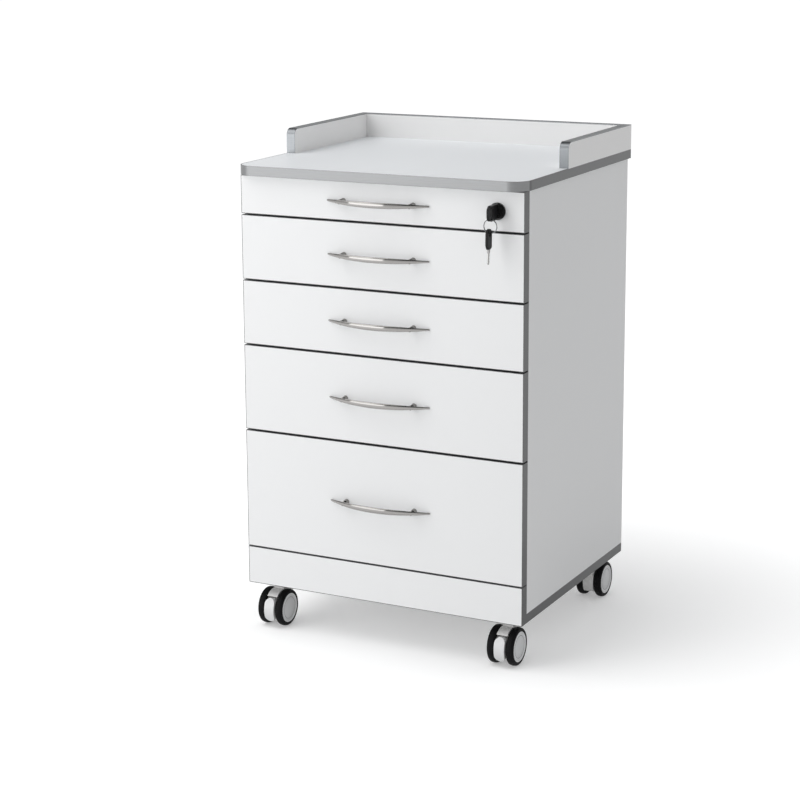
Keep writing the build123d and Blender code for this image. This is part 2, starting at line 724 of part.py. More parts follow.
def brake_pedal():
    """An upright oval that follows the hood's front, with its pin and a slot for the lug."""
    half = pedal_half_width
    middle = (PEDAL_TOP + PEDAL_BOTTOM) / 2
    oval = SlotOverall(PEDAL_TOP - PEDAL_BOTTOM, 2 * half, rotation=90)
    upright = Pos(0, -CASTER_TRAIL, middle) * Rot(90, 0, 0) * oval
    slab = extrude(upright, 2 * pedal_outer, dir=(0, -1, 0))
    outside = rod_x(pedal_outer, -half, half, -CASTER_TRAIL, wheel_radius)
    inside = rod_x(pedal_inner, -half, half, -CASTER_TRAIL, wheel_radius)
    pedal = slab & (outside - inside)
    slot_half = PEDAL_LUG_WIDTH / 2 + PEDAL_LUG_PLAY
    slot_radius = PEDAL_LUG_RADIUS + PEDAL_LUG_PLAY
    pedal -= rod_x(slot_radius, -slot_half, slot_half, pivot_y, pivot_z)
    y = (pivot_y, -CASTER_TRAIL)
    pedal -= block((-slot_half, slot_half), y, (pivot_z - slot_radius, PEDAL_TOP))
    pin = rod_x(PEDAL_PIN_RADIUS, -half + PEDAL_LUG_PLAY, half - PEDAL_LUG_PLAY, pivot_y, pivot_z)
    return [pedal - pin, pin]


def caster_wheel():
    """The right-hand wheel: the tyre, and the core with its dished outer face."""
    x = (wheel_inner_face, wheel_inner_face + WHEEL_WIDTH)
    axle_line = (-CASTER_TRAIL, wheel_radius)
    disc = rod_x(wheel_radius, *x, *axle_line)
    tyre = fillet(disc.edges().filter_by(GeomType.CIRCLE), TYRE_SHOULDER)
    tyre -= rod_x(wheel_core_radius, *x, *axle_line)
    outer_face = x[1] - WHEEL_CORE_INSET
    core = rod_x(wheel_core_radius, x[0], outer_face, *axle_line)
    dish = (outer_face - CORE_DISH_DEPTH, outer_face)
    core -= rod_x(wheel_core_radius - CORE_RIM, *dish, *axle_line)
    core -= rod_x(AXLE_RADIUS + SHAFT_FIT, x[0], x[0] + AXLE_SOCKET, *axle_line)
    return [tyre, core]


def caster_place(caster):
    return Pos(caster.x, caster.y, 0) * Rot(0, 0, caster.turn)


def all_caster_plates():
    return [caster_place(c) * piece for c in casters for piece in caster_plate()]


# ---- writing the pieces ----
def cut_by(part, cutters):
    for cutter in cutters:
        part -= cutter
    return part


def write_carcass():
    plates = all_caster_plates()
    screws = carcass_screws()
    top_screws = gallery_screws()
    runner_screws = []
    for drawer in drawers:
        runner_screws += [Pos(0, 0, runner_level(drawer)) * s for s in runner_panel_screws()]
    side = cut_by(side_panel(), screws + runner_screws)
    gallery_inner = cut_by(gallery_side_outline(EDGE_BAND), top_screws)
    write("side_panel_right", side)
    write("side_panel_left", mirrored(side))
    write("back_panel", back_panel())
    write("bottom_board", cut_by(bottom_board(), screws + plates))
    write("top_rails", *[cut_by(rail, screws) for rail in top_rails()])
    write("plinth_panel", *banded_board(CASTER_HEIGHT, CASTER_HEIGHT + PLINTH_HEIGHT))
    seats = gallery_seats()
    top_board = worktop_outline(TOP_BAND)
    top_band = worktop_outline(0) - top_board
    write("worktop", cut_by(top_board, screws + top_screws + seats))
    write("worktop_edging", cut_by(top_band, seats))
    write("gallery_right", gallery_inner)
    write("gallery_left", mirrored(gallery_inner))
    write("gallery_back", cut_by(gallery_back(), top_screws))
    write("panel_edging", *panel_bands())
    write("carcass_screws", *screws, *top_screws)
    write("caster_plates", *plates)


def write_drawers():
    cabinet_members = []
    for drawer in drawers:
        name = f"drawer_{drawer.number}"
        level = runner_level(drawer)
        write(f"{name}_front", *drawer_front(drawer))
        write(f"{name}_box", *drawer_box(drawer))
        write(f"{name}_handle", *handle(drawer))
        box_member = screwed_member(runner_drawer_member(), runner_box_screws())
        write(f"{name}_runner_members", *runner_pair(box_member, level))
        middle = runner_pair([runner_middle_member()], level)
        write(f"runner_{drawer.number}_middle_members", *middle)
        panel_member = screwed_member(runner_cabinet_member(), runner_panel_screws())
        cabinet_members += runner_pair(panel_member, level)
    write("runner_cabinet_members", *cabinet_members)


def write_lock():
    write("lock_barrel", lock_barrel())
    write("lock_plug", lock_plug())
    write("lock_cam", lock_cam())
    write("key", *key())
    write("key_ring", key_ring())


def write_casters():
    wheel = caster_wheel()
    other_wheel = [mirrored(piece) for piece in wheel]
    for caster in casters:
        place = caster_place(caster)
        # half a turn swaps the sides of a rear caster, so its wheels are named from outside
        right, left = (other_wheel, wheel) if caster.turn else (wheel, other_wheel)
        write(f"{caster.name}_housing", *[place * p for p in caster_housing(caster.braked)])
        write(f"{caster.name}_wheel_left", *[place * p for p in left])
        write(f"{caster.name}_wheel_right", *[place * p for p in right])
        if caster.braked:
            write(f"{caster.name}_brake_pedal", *[place * p for p in brake_pedal()])


write_carcass()
write_drawers()
write_lock()
write_casters()
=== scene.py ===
"""A mobile drawer cabinet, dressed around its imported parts. Everything is in metres."""

import json
from math import copysign, cos, pi, radians, sin, sqrt

import bmesh
import bpy
from mathutils import Matrix, Vector

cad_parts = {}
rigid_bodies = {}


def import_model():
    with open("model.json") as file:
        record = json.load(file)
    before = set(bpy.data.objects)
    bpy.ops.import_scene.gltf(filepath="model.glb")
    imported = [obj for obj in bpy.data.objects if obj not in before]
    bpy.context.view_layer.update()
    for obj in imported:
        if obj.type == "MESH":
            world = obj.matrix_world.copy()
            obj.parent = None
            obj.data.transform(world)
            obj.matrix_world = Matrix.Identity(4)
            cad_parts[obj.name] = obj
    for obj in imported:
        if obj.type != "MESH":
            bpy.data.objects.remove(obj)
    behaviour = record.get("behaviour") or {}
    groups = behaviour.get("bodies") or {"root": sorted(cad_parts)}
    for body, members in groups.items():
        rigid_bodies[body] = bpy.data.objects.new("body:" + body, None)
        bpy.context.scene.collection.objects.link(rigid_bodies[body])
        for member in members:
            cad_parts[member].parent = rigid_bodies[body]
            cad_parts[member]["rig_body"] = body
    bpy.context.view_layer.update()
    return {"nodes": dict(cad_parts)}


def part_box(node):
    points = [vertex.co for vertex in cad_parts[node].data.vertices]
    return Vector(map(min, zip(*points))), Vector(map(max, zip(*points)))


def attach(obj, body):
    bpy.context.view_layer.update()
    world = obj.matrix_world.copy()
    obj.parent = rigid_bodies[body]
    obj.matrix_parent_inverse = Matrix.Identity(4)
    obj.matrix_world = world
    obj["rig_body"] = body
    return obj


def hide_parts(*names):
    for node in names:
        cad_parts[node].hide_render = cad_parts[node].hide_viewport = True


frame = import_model()
nodes = frame["nodes"]

MM = 0.001

# ---- sizes of the pieces that are made here ----
LATHE_STEPS = 96
EDGE_BAND = 1 * MM
INSIDE_BAND = 1.01 * EDGE_BAND  # just past the inner face of a band
# width of the painted shade along the edges of each board
SEAM_SHADE_WIDTH = 0.4 * MM

TYRE_WALL = 6.8 * MM
TYRE_SHOULDER = 4.5 * MM
TYRE_SHOULDER_STEPS = 7
TYRE_LIP = 0.6 * MM
TREAD_CROWN = 0.4 * MM
CAP_RIM_WIDTH = 1.8 * MM
CAP_RIM_DEPTH = 1.8 * MM
CAP_RIM_CORNER = 0.85 * MM
CAP_RIM_CORNER_POINTS = 8
CAP_RIM_PROUD = 0.8 * MM  # in front of the edge of the cap
CAP_FACE_INSET = 1.2 * MM  # edge of the cap behind the side of the tyre
CAP_BACK_INSET = 0.5 * MM
CAP_CROWN = 0.7 * MM  # how far the middle of the cap stands out
CAP_GROOVE_RADIUS = 19 * MM
CAP_GROOVE_DEPTH = 0.4 * MM

PLATE_SIZE = 60 * MM
PLATE_THICKNESS = 2.5 * MM
PLATE_SCREW_SPACING = 46 * MM
PLATE_SCREW_HEAD_RADIUS = 4.2 * MM
PLATE_SCREW_DOME_RADIUS = 2.6 * MM
PLATE_SCREW_HEAD_HEIGHT = 1.8 * MM
PLATE_SCREW_FACES = 20

HANDLE_LENGTH = 187 * MM
HANDLE_HOLE_SPACING = 128 * MM
HANDLE_PROJECTION = 28 * MM
HANDLE_THICKNESS = 5 * MM
HANDLE_TIP_THICKNESS = 2 * MM
HANDLE_TIP_STANDOFF = 1 * MM
HANDLE_HEIGHT = 10 * MM
HANDLE_TIP_HEIGHT = 3 * MM
HANDLE_POST_RADIUS = 4 * MM
POST_FLARE = 0.8 * MM
POST_STEPS = 48
BOW_STATIONS = 96
BOW_SECTION_POINTS = 32
BOW_FULLNESS = 0.85  # below 1 the section is fuller than an oval
BOW_TIP_SHARE = 0.8  # how much of its section is left at each end of the bow
SCREW_HEAD_RADIUS = 4 * MM
SCREW_HEAD_HEIGHT = 2.5 * MM
SCREW_HEAD_CHAMFER = (0.85, 0.7)  # shares of the height and the radius
SCREW_SOCKET_RADIUS = 1.6 * MM

KEY_HEAD_LENGTH = 31 * MM
RING_WIRE = 0.8 * MM
RING_TURNS = 1.9
COIL_WIRE = 0.95 * RING_WIRE  # thin enough to stay inside the plain ring
COIL_STEPS = 72  # in a turn
COIL_WIRE_POINTS = 12

SPARE_KEY_WIDTH = 17 * MM
SPARE_KEY_LENGTH = 33 * MM  # of the head
SPARE_KEY_THICKNESS = 4.6 * MM
SPARE_KEY_CROWN_STEPS = 12
SPARE_KEY_TAPER_FRONT = 7 * MM
SPARE_KEY_TAPER_REAR = 3 * MM
SPARE_KEY_SOLE = 8 * MM  # width of the head where the collar starts
SPARE_KEY_HOLE = 3.0 * MM
SPARE_KEY_RISE = 8.0 * MM  # top of the head above the lowest point of the ring
SPARE_KEY_OFFSET = -2.5 * MM  # left of the middle of the ring
SPARE_KEY_LEAN = -2.0  # degrees
COLLAR_LENGTH = 5 * MM
COLLAR_WIDTH = 5 * MM
COLLAR_FLARE = 0.6 * MM
COLLAR_THICKNESS = 3.2 * MM
COLLAR_OVERLAP = 0.5 * MM  # into the head
BLADE_LENGTH = 19 * MM
BLADE_WIDTH = 5.2 * MM
BLADE_THICKNESS = 2 * MM
BLADE_CUTS = (0.9 * MM, 0.2 * MM, 1.3 * MM, 0.5 * MM, 1.0 * MM, 0.1 * MM, 0.7 * MM)
BLADE_TIP_WIDTH = 1.2 * MM
BLADE_TIP_TAPER = 2 * MM
BLADE_OVERLAP = 0.3 * MM  # into the collar
HEAD_BEVEL = 0.8 * MM
COLLAR_BEVEL = 0.3 * MM
BLADE_BEVEL = 0.15 * MM
BEVEL_STEPS = 2

# ---- looks: levels are linear, warmth is a share, and noise scales are per metre ----
WHITE = 0.86
BOARD_WARMTH = -0.002
FRONT_WARMTH = -0.004
BOX_LOOK = (0.70, 0.006)  # level and warmth
# painted light and shade: lit and shaded copies of the same white board, lighter on the worktop
# and the gallery's sides, darker on the gallery's back
BOARD_PAINTED_LIGHT_LOOKS = {
    "worktop": (0.90, -0.022),
    "gallery_back": (0.80, 0.004),
    "gallery_left": (0.92, 0.008),
    "gallery_right": (0.92, 0.008),
}
LAMINATE_DRIFT_SCALE = 3.0
LAMINATE_DRIFT_SHARE = 0.985  # a share is the darkest tone's part of the level
LAMINATE_GRAIN_SCALE = 1400
LAMINATE_GRAIN_SHARE = 0.86
LAMINATE_GRAIN_STRENGTH = 0.12
LAMINATE_GRAIN_DEPTH = 0.03 * MM
LAMINATE_BUMP = 0.35
LAMINATE_GLOSS = (0.33, 0.42)  # a gloss is a range of roughness
LAMINATE_GLOSS_SCALE = 60
LAMINATE_SHINE = 0.4
# painted shade along the edges of each board: its darkest tone, and how much of it is mixed in
SEAM_SHADE_SHARE = 0.3
SEAM_SHADE_STRENGTH = 0.45
FINE_GRAIN = 0.6  # roughness of the finest noises

# kept dark, partly as painted shade, so that the gaps between the fronts read dark
BAND_LEVEL = 0.090
SILVER_LEVEL = 0.24
# painted shade: the silver band is darker on the worktop's left and right sides than on its
# front
WORKTOP_SIDE_SHADE_LEVEL = 0.115
# painted light: the same grey band is lighter and bluer on the gallery, above the worktop
GALLERY_BAND_LIT_LEVEL = 0.27
BAND_WARMTH = -0.01
GALLERY_BAND_LIT_WARMTH = -0.04
BAND_METAL = 0.85
BAND_GLOSS = (0.30, 0.44)
BAND_LINE_SCALE = 900
BAND_LINE_SHARES = (0.86, 1.12)
BAND_LINE_DEPTH = 0.02 * MM
BAND_BUMP = 0.4

EVEN = (1, 1, 1)
DRAWN_ALONG_X = (0.03, 1.0, 1.0)
DRAWN_ALONG_XY = (0.03, 0.03, 1.0)
ROLLED_ALONG_Y = (1.0, 0.04, 1.0)
TURNED_ALONG_Y = (1, 0.1, 1)
DRAWN_ALONG_Z = (1, 1, 0.05)
BRUSH_SCALE = 1200
BRUSH_SHARES = (0.88, 1.06)
BRUSH_GLOSS_SPREAD = (-0.05, 0.07)
BRUSH_DEPTH = 0.01 * MM
BRUSH_BUMP = 0.3
WEAR_SCALE = 40
WEAR_SHARE = 0.8
WEAR_STRENGTH = 0.3
ZINC_CRYSTAL_SCALE = 160.0
ZINC_CRYSTAL_SHARES = (1.08, 0.82)
ZINC_LINE_SCALE = 700
ZINC_LINE_SHARE = 0.7
ZINC_LINE_STRENGTH = 0.3
ZINC_METAL = 0.95
ZINC_GLOSS = (0.28, 0.42)

MOULDED_SCALE = 1000
MOULDED_DEPTH = 0.02 * MM
MOULDED_BUMP = 0.5
MOULDED_SHINE = 0.3
MOULDED_COAT_GLOSS = 0.12
MOULDED_GLOSS_SPREAD = (-0.05, 0.06)
MOULDED_DRIFT_SCALE = 25
TYRE_BLACK = (0.004, 0.004, 0.0045, 1)
TYRE_SCUFF = (0.010, 0.010, 0.011, 1)
TYRE_SCUFF_SCALE = 260
TYRE_SCUFF_DEPTH = 0.04 * MM
TYRE_DUST = (0.03, 0.03, 0.03, 1)
TYRE_DUST_SCALE = 45
TYRE_DUST_STRENGTH = 0.2
TYRE_GLOSS = (0.40, 0.58)
TYRE_SHINE = 0.06
KEY_BLACK = (0.006, 0.006, 0.007, 1)
KEY_BLACK_WORN = (0.012, 0.012, 0.013, 1)
KEY_STEEL_LEVELS = (0.42, 0.55)
KEY_STEEL_WARMTH = 0.01
KEY_TEXTURE_SCALE = 900
KEY_BUMP = 0.4
KEY_GLOSS = (0.27, 0.38)
KEY_SHINE = 0.15

# ---- lamps, room, floor and camera ----
FILL_LEVEL = 0.52
FILL_COLOUR = (0.98, 0.99, 1, 1)
CEILING_LEVEL = 0.04
WALL_TOP = 0.12  # heights in the room, as the sine of the angle up
CEILING_EDGE = 0.45
FLOOR_SIZE = 400
FLOOR_COLOUR = (0.8, 0.8, 0.8, 1)
FLOOR_GLOW = ((0.30, 0.8, 0.30, 0.56), (0.8, 3.0, 0.0, 0.07))  # from and to metres, added glow
WHITE_LIGHT = (1, 1, 1, 1)
NO_LIGHT = (0, 0, 0, 1)
CAMERA_PLACE = (1.5739, -3.0303, 1.2753)  # Y is counted from the drawer fronts
CAMERA_YAW = radians(28.39)
CAMERA_PITCH = radians(-12.18)
CAMERA_ROLL = radians(-0.66)
CAMERA_LENS = 95.1
CAMERA_SHIFT = (0.06875, -0.075)
CAMERA_REACH = 500


# ---- nodes ----
class Wire:
    """A socket that carries a value, on which Python's operators add Math nodes."""

    def __init__(self, finish, socket):
        self.finish = finish
        self.socket = socket

    def output(self, name):
        """Another output of the same node."""
        return Wire(self.finish, self.socket.node.outputs[name])

    def maths(self, operation, *operands):
        values = dict(enumerate(operands))
        return self.finish.node("Math", {"operation": operation}, values)

    def __add__(self, other):
        return self.maths("ADD", self, other)

    __radd__ = __add__

    def __sub__(self, other):
        return self.maths("SUBTRACT", self, other)

    def __rsub__(self, other):
        return self.maths("SUBTRACT", other, self)

    def __mul__(self, other):
        return self.maths("MULTIPLY", self, other)

    __rmul__ = __mul__

    def __gt__(self, other):
        return self.maths("GREATER_THAN", self, other)

    def __lt__(self, other):
        return self.maths("LESS_THAN", self, other)

    def __or__(self, other):
        return self.maths("MAXIMUM", self, other)

    def __abs__(self):
        return self.maths("ABSOLUTE", self)


def add_node(tree, kind, settings, sockets):
    """Adds a node: its settings first, then the values or wires of its sockets."""
    made = tree.nodes.new(kind)
    for name, value in (settings or {}).items():
        setattr(made, name, value)
    for name, value in (sockets or {}).items():
        given = value.socket if isinstance(value, Wire) else value
        if isinstance(given, bpy.types.NodeSocket):
            tree.links.new(given, made.inputs[name])
        else:
            made.inputs[name].default_value = given
    return made


class Finish:
    """The shader nodes of a material, or of the world, while they are being made."""

    def __init__(self, name, owner=None):
        self.owner = owner or bpy.data.materials.new(name)
        self.owner.use_nodes = True
        self.tree = self.owner.node_tree
        self.tree.nodes.clear()

    def node(self, kind, settings=None, sockets=None, output=0):
        made = add_node(self.tree, "ShaderNode" + kind, settings, sockets)
        return Wire(self, made.outputs[output]) if made.outputs else made

    def place(self, stretch=EVEN):
        """Object coordinates, drawn out along an axis where stretch is below 1."""
        where = self.node("TexCoord", output="Object")
        if stretch == EVEN:
            return where
        return self.node("VectorMath", {"operation": "MULTIPLY"}, {0: where, 1: stretch})

    def along(self):
        """The X, Y and Z of the object coordinates."""
        x = self.node("SeparateXYZ", sockets={0: self.place()})
        return x, x.output("Y"), x.output("Z")

    def noise(self, scale, detail=2.0, roughness=0.5, stretch=EVEN):
        sockets = {
            "Vector": self.place(stretch),
            "Scale": scale,
            "Detail": detail,
            "Roughness": roughness,
        }
        return self.node("TexNoise", sockets=sockets)

    def mix(self, mask, off, on):
        """The colour off where the mask is 0, and on where it is 1."""
        return self.node("Mix", {"data_type": "RGBA"}, {0: mask, 6: off, 7: on}, output=2)

    def between(self, wire, low, high):
        """The wire's 0 to 1 as low to high."""
        return wire * (high - low) + low

    def bump(self, height, distance, strength):
        sockets = {"Height": height, "Distance": distance, "Strength": strength}
        return self.node("Bump", sockets=sockets)

    def seen(self):
        """1 for what the camera sees, directly or in gloss or glass, and 0 for other rays."""
        path = self.node("LightPath", output="Is Camera Ray")
        return path | path.output("Is Glossy Ray") | path.output("Is Transmission Ray")

    def light(self, kind, colour, strength):
        """An Emission or Background shader."""
        return self.node(kind, sockets={"Color": colour, "Strength": strength})

    def blend(self, mask, off, on):
        """The shader off where the mask is 0, and on where it is 1."""
        return self.node("MixShader", sockets={0: mask, 1: off, 2: on})

    def shader(self, **sockets):
        names = {name.replace("_", " "): value for name, value in sockets.items()}
        return self.node("BsdfPrincipled", sockets=names)

    def done(self, surface):
        kind = "OutputWorld" if isinstance(self.owner, bpy.types.World) else "OutputMaterial"
        self.node(kind, sockets={"Surface": surface})
        return self.owner


# ---- materials ----
def grey(level, warm=0.0):
    """A linear grey, slightly warm or cool."""
    return (level * (1 + warm), level, level * (1 - warm), 1)


def laminate_colour(finish, level, warm):
    """Pressed laminate: broad tone drift, and a fine pearl grain."""
    drift = finish.noise(LAMINATE_DRIFT_SCALE)
    grain = finish.noise(LAMINATE_GRAIN_SCALE, roughness=FINE_GRAIN)
    broad = finish.mix(drift, grey(level * LAMINATE_DRIFT_SHARE, warm), grey(level, warm))
    dark = grey(level * LAMINATE_GRAIN_SHARE, warm)
    return finish.mix(grain * LAMINATE_GRAIN_STRENGTH, broad, dark), grain


def laminate_bump(finish, grain):
    return finish.bump(grain, LAMINATE_GRAIN_DEPTH, LAMINATE_BUMP)


def laminate_gloss(finish):
    return finish.between(finish.noise(LAMINATE_GLOSS_SCALE), *LAMINATE_GLOSS)


def banding_colour(finish, level, warm=BAND_WARMTH):
    """Silver-grey edge band with fine lines drawn along the board."""
    lines = finish.noise(BAND_LINE_SCALE, stretch=DRAWN_ALONG_XY)
    dark, pale = BAND_LINE_SHARES
    return finish.mix(lines, grey(level * dark, warm), grey(level * pale, warm - 0.01)), lines


def painted_seam_shade(finish, node):
    """A mask along the edges of a node's box, where one board meets the next, for the painted
    shade there.
    """
    low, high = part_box(node)
    near = [
        (wire < low[k] + SEAM_SHADE_WIDTH) | (wire > high[k] - SEAM_SHADE_WIDTH)
        for k, wire in enumerate(finish.along())
    ]
    return near[0] + near[1] + near[2] > 1.5  # near two faces of the box at once


def laminate(node, level, warm):
    """Laminate on one board, with painted shade making it a little darker along the board's
    edges.
    """
    finish = Finish(f"{node}_laminate")
    colour, grain = laminate_colour(finish, level, warm)
    # painted shade along the board's edges, where it meets the next
    seam_shade = painted_seam_shade(finish, node) * SEAM_SHADE_STRENGTH
    return finish.done(
        finish.shader(
            Base_Color=finish.mix(seam_shade, colour, grey(level * SEAM_SHADE_SHARE, warm)),
            Roughness=laminate_gloss(finish),
            Normal=laminate_bump(finish, grain),
            Specular_IOR_Level=LAMINATE_SHINE,
        )
    )


def banded_laminate(node):
    """White board with its band: the two solids of one node, told apart by where they are."""
    low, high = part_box(node)
    finish = Finish(f"{node}_laminate")
    x, _, z = finish.along()
    ends = (z > high.z - INSIDE_BAND) | (z < low.z + INSIDE_BAND)
    edge = (abs(x) > high.x - INSIDE_BAND) | ends
    board, grain = laminate_colour(finish, WHITE, FRONT_WARMTH)
    band, lines = banding_colour(finish, BAND_LEVEL)
    band_gloss = finish.between(lines, *BAND_GLOSS)
    return finish.done(
        finish.shader(
            Base_Color=finish.mix(edge, board, band),
            Metallic=edge * BAND_METAL,
            Roughness=laminate_gloss(finish) * (1 - edge) + band_gloss * edge,
            Normal=laminate_bump(finish, grain),
            Specular_IOR_Level=LAMINATE_SHINE,
        )
    )


def banding(name, level, painted_light_and_shade_level, painted_light_and_shade_warm, where):
    """Edge band, with another level on the strips that where(x, z) picks out: painted light and
    shade on those strips of the same band.
    """
    finish = Finish(name)
    x, _, z = finish.along()
    colour, lines = banding_colour(finish, level)
    # the same band at another level: painted light on the gallery, painted shade on the
    # worktop's sides
    other, _ = banding_colour(finish, painted_light_and_shade_level, painted_light_and_shade_warm)
    return finish.done(
        finish.shader(
            Base_Color=finish.mix(where(x, z), colour, other),
            Metallic=BAND_METAL,
            Roughness=finish.between(lines, *BAND_GLOSS),
            Normal=finish.bump(lines, BAND_LINE_DEPTH, BAND_BUMP),
        )
    )


# the grey band's strips on the gallery, which get painted light
def lit_band_above_worktop(_, z):
    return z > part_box("worktop")[1].z - EDGE_BAND


# the silver band's strips on the worktop's sides, which get painted shade
def shaded_worktop_sides(x, _):
    return abs(x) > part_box("worktop_edging")[1].x - INSIDE_BAND


def brushed_metal(name, level, warm, gloss, stretch=EVEN):
    """Fine lines along the axis that stretch draws them out on, and duller patches of wear."""
    finish = Finish(name)
    lines = finish.noise(BRUSH_SCALE, 3.0, FINE_GRAIN, stretch)
    dark, pale = BRUSH_SHARES
    colour = finish.mix(lines, grey(level * dark, warm), grey(level * pale, warm))
    wear = finish.noise(WEAR_SCALE) * WEAR_STRENGTH
    low, high = BRUSH_GLOSS_SPREAD
    return finish.done(
        finish.shader(
            Base_Color=finish.mix(wear, colour, grey(level * WEAR_SHARE, warm)),
            Metallic=1.0,
            Roughness=finish.between(lines, gloss + low, gloss + high),
            Normal=finish.bump(lines, BRUSH_DEPTH, BRUSH_BUMP),
        )
    )


def moulded(
    name,
    colour,
    shade,
    gloss,
    scale=MOULDED_SCALE,
    depth=MOULDED_DEPTH,
    coat=0.0,
    shine=MOULDED_SHINE,
):
    """Moulded plastic: fine spark texture, and a slow drift of tone."""
    finish = Finish(name)
    texture = finish.noise(scale, roughness=FINE_GRAIN)
    low, high = MOULDED_GLOSS_SPREAD
    return finish.done(
        finish.shader(
            Base_Color=finish.mix(finish.noise(MOULDED_DRIFT_SCALE), colour, shade),
            Roughness=finish.between(texture, gloss + low, gloss + high),
            Normal=finish.bump(texture, depth, MOULDED_BUMP),
            Coat_Weight=coat,
            Coat_Roughness=MOULDED_COAT_GLOSS,
            Specular_IOR_Level=shine,
        )
    )


def rubber(name):
    """Black tread, slightly scuffed, with a little dust."""
    finish = Finish(name)
    scuffs = finish.noise(TYRE_SCUFF_SCALE, 4.0, 0.65)
    dust = finish.noise(TYRE_DUST_SCALE, 3.0) * TYRE_DUST_STRENGTH
    clean = finish.mix(scuffs, TYRE_BLACK, TYRE_SCUFF)
    return finish.done(
        finish.shader(
            Base_Color=finish.mix(dust, clean, TYRE_DUST),
            Roughness=finish.between(scuffs, *TYRE_GLOSS),
            Normal=finish.bump(scuffs, TYRE_SCUFF_DEPTH, MOULDED_BUMP),
            Specular_IOR_Level=TYRE_SHINE,
        )
    )


def galvanised(name, level):
    """Zinc-plated steel with faint crystals and rolling lines."""
    finish = Finish(name)
    sockets = {"Vector": finish.place(), "Scale": ZINC_CRYSTAL_SCALE}
    crystals = finish.node("TexVoronoi", sockets=sockets)
    lines = finish.noise(ZINC_LINE_SCALE, stretch=ROLLED_ALONG_Y)
    pale, dark = ZINC_CRYSTAL_SHARES
    colour = finish.mix(crystals, grey(level * pale, -0.01), grey(level * dark, -0.015))
    rolled = lines * ZINC_LINE_STRENGTH
    return finish.done(
        finish.shader(
            Base_Color=finish.mix(rolled, colour, grey(level * ZINC_LINE_SHARE)),
            Metallic=ZINC_METAL,
            Roughness=finish.between(crystals, *ZINC_GLOSS),
            Normal=finish.bump(lines, BRUSH_DEPTH, BRUSH_BUMP),
        )
    )


def key_finish(name):
    """Black moulded head in front, and a plated blade behind it."""
    finish = Finish(name)
    _, y, _ = finish.along()
    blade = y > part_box("key")[0].y + KEY_HEAD_LENGTH
    texture = finish.noise(KEY_TEXTURE_SCALE, roughness=FINE_GRAIN)
    head = finish.mix(texture, KEY_BLACK, KEY_BLACK_WORN)
    steel = finish.mix(texture, *(grey(level, KEY_STEEL_WARMTH) for level in KEY_STEEL_LEVELS))
    return finish.done(
        finish.shader(
            Base_Color=finish.mix(blade, head, steel),
            Metallic=blade,
            Roughness=finish.between(texture, *KEY_GLOSS),
            Normal=finish.bump(texture, MOULDED_DEPTH, KEY_BUMP),
            Specular_IOR_Level=KEY_SHINE,
        )
    )


def floor_finish(name):
    """Pale floor. The camera sees it white, with the deeper shadows that fall on it.

    The lamps light it less further out, where its glow makes up for that."""
    finish = Finish(name)
    away = finish.node("VectorMath", {"operation": "LENGTH"}, {0: finish.place()}, "Value")
    glow_level = 0.0
    for start, stop, low, high in FLOOR_GLOW:
        span = {"From Min": start, "From Max": stop, "To Min": low, "To Max": high}
        glow_level = finish.node("MapRange", sockets={"Value": away, **span}) + glow_level
    diffuse = finish.node("BsdfDiffuse", sockets={"Color": FLOOR_COLOUR})
    glow = finish.light("Emission", WHITE_LIGHT, 1.0)
    dark = finish.light("Emission", NO_LIGHT, 0.0)
    shown = finish.blend(finish.seen() * glow_level, dark, glow)
    return finish.done(finish.node("AddShader", sockets={0: diffuse, 1: shown}))


materials = {
    # grey band, with painted light on its strips above the worktop
    "band": banding(
        "grey_edging", BAND_LEVEL, GALLERY_BAND_LIT_LEVEL, GALLERY_BAND_LIT_WARMTH, lit_band_above_worktop
    ),
    # silver band, with painted shade on the worktop's sides
    "top_band": banding(
        "silver_edging", SILVER_LEVEL, WORKTOP_SIDE_SHADE_LEVEL, BAND_WARMTH, shaded_worktop_sides
    ),
    "nickel": brushed_metal("brushed_nickel", 0.30, 0.03, gloss=0.07, stretch=DRAWN_ALONG_X),
    "zinc": galvanised("zinc_steel", 0.52),
    "screws": brushed_metal("screw_steel", 0.42, 0.01, gloss=0.30),
    "lock": moulded(
        "lock_black",
        grey(0.006),
        grey(0.010),
        gloss=0.22,
        scale=1400,
        depth=0.01 * MM,
        coat=0.12,
    ),
    "plug": brushed_metal("lock_metal", 0.05, 0.0, gloss=0.30, stretch=TURNED_ALONG_Y),
    "ring": brushed_metal("ring_steel", 0.22, -0.03, gloss=0.22),
    "key": key_finish("key_black_and_steel"),
    "key_head": moulded(
        "key_black", grey(0.006), grey(0.012), gloss=0.34, scale=1200, shine=KEY_SHINE
    ),
    "key_steel": brushed_metal("key_steel", 0.32, 0.01, gloss=0.26, stretch=DRAWN_ALONG_Z),
    "hood": moulded("caster_grey", grey(0.88, 0.01), grey(0.83, 0.012), gloss=0.42),
    "cap": moulded("cap_grey", grey(0.80, -0.004), grey(0.74, -0.004), gloss=0.38),
    # painted shade: the groove is much darker than the cap
    "cap_groove": moulded("cap_groove_painted_shade", grey(0.34), grey(0.30), gloss=0.5),
    # painted highlight: the rim is paler than the cap
    "cap_rim": moulded("cap_rim_painted_highlight", grey(0.95), grey(0.92), gloss=0.25),
    "pedal": moulded("pedal_white", grey(0.78, -0.003), grey(0.74, -0.003), gloss=0.34),
    "tyre": rubber("wheel_black"),
}

FINISH_BY_ENDING = {
    "_handle": "nickel",
    "_members": "zinc",
    "caster_plates": "zinc",
    "_screws": "screws",
    "worktop_edging": "top_band",
    "_edging": "band",
    "lock_barrel": "lock",
    "lock_plug": "plug",
    "lock_cam": "zinc",
    "key_ring": "ring",
    "key": "key",
    "_housing": "hood",
    "_pedal": "pedal",
    "_wheel_left": "tyre",
    "_wheel_right": "tyre",
}


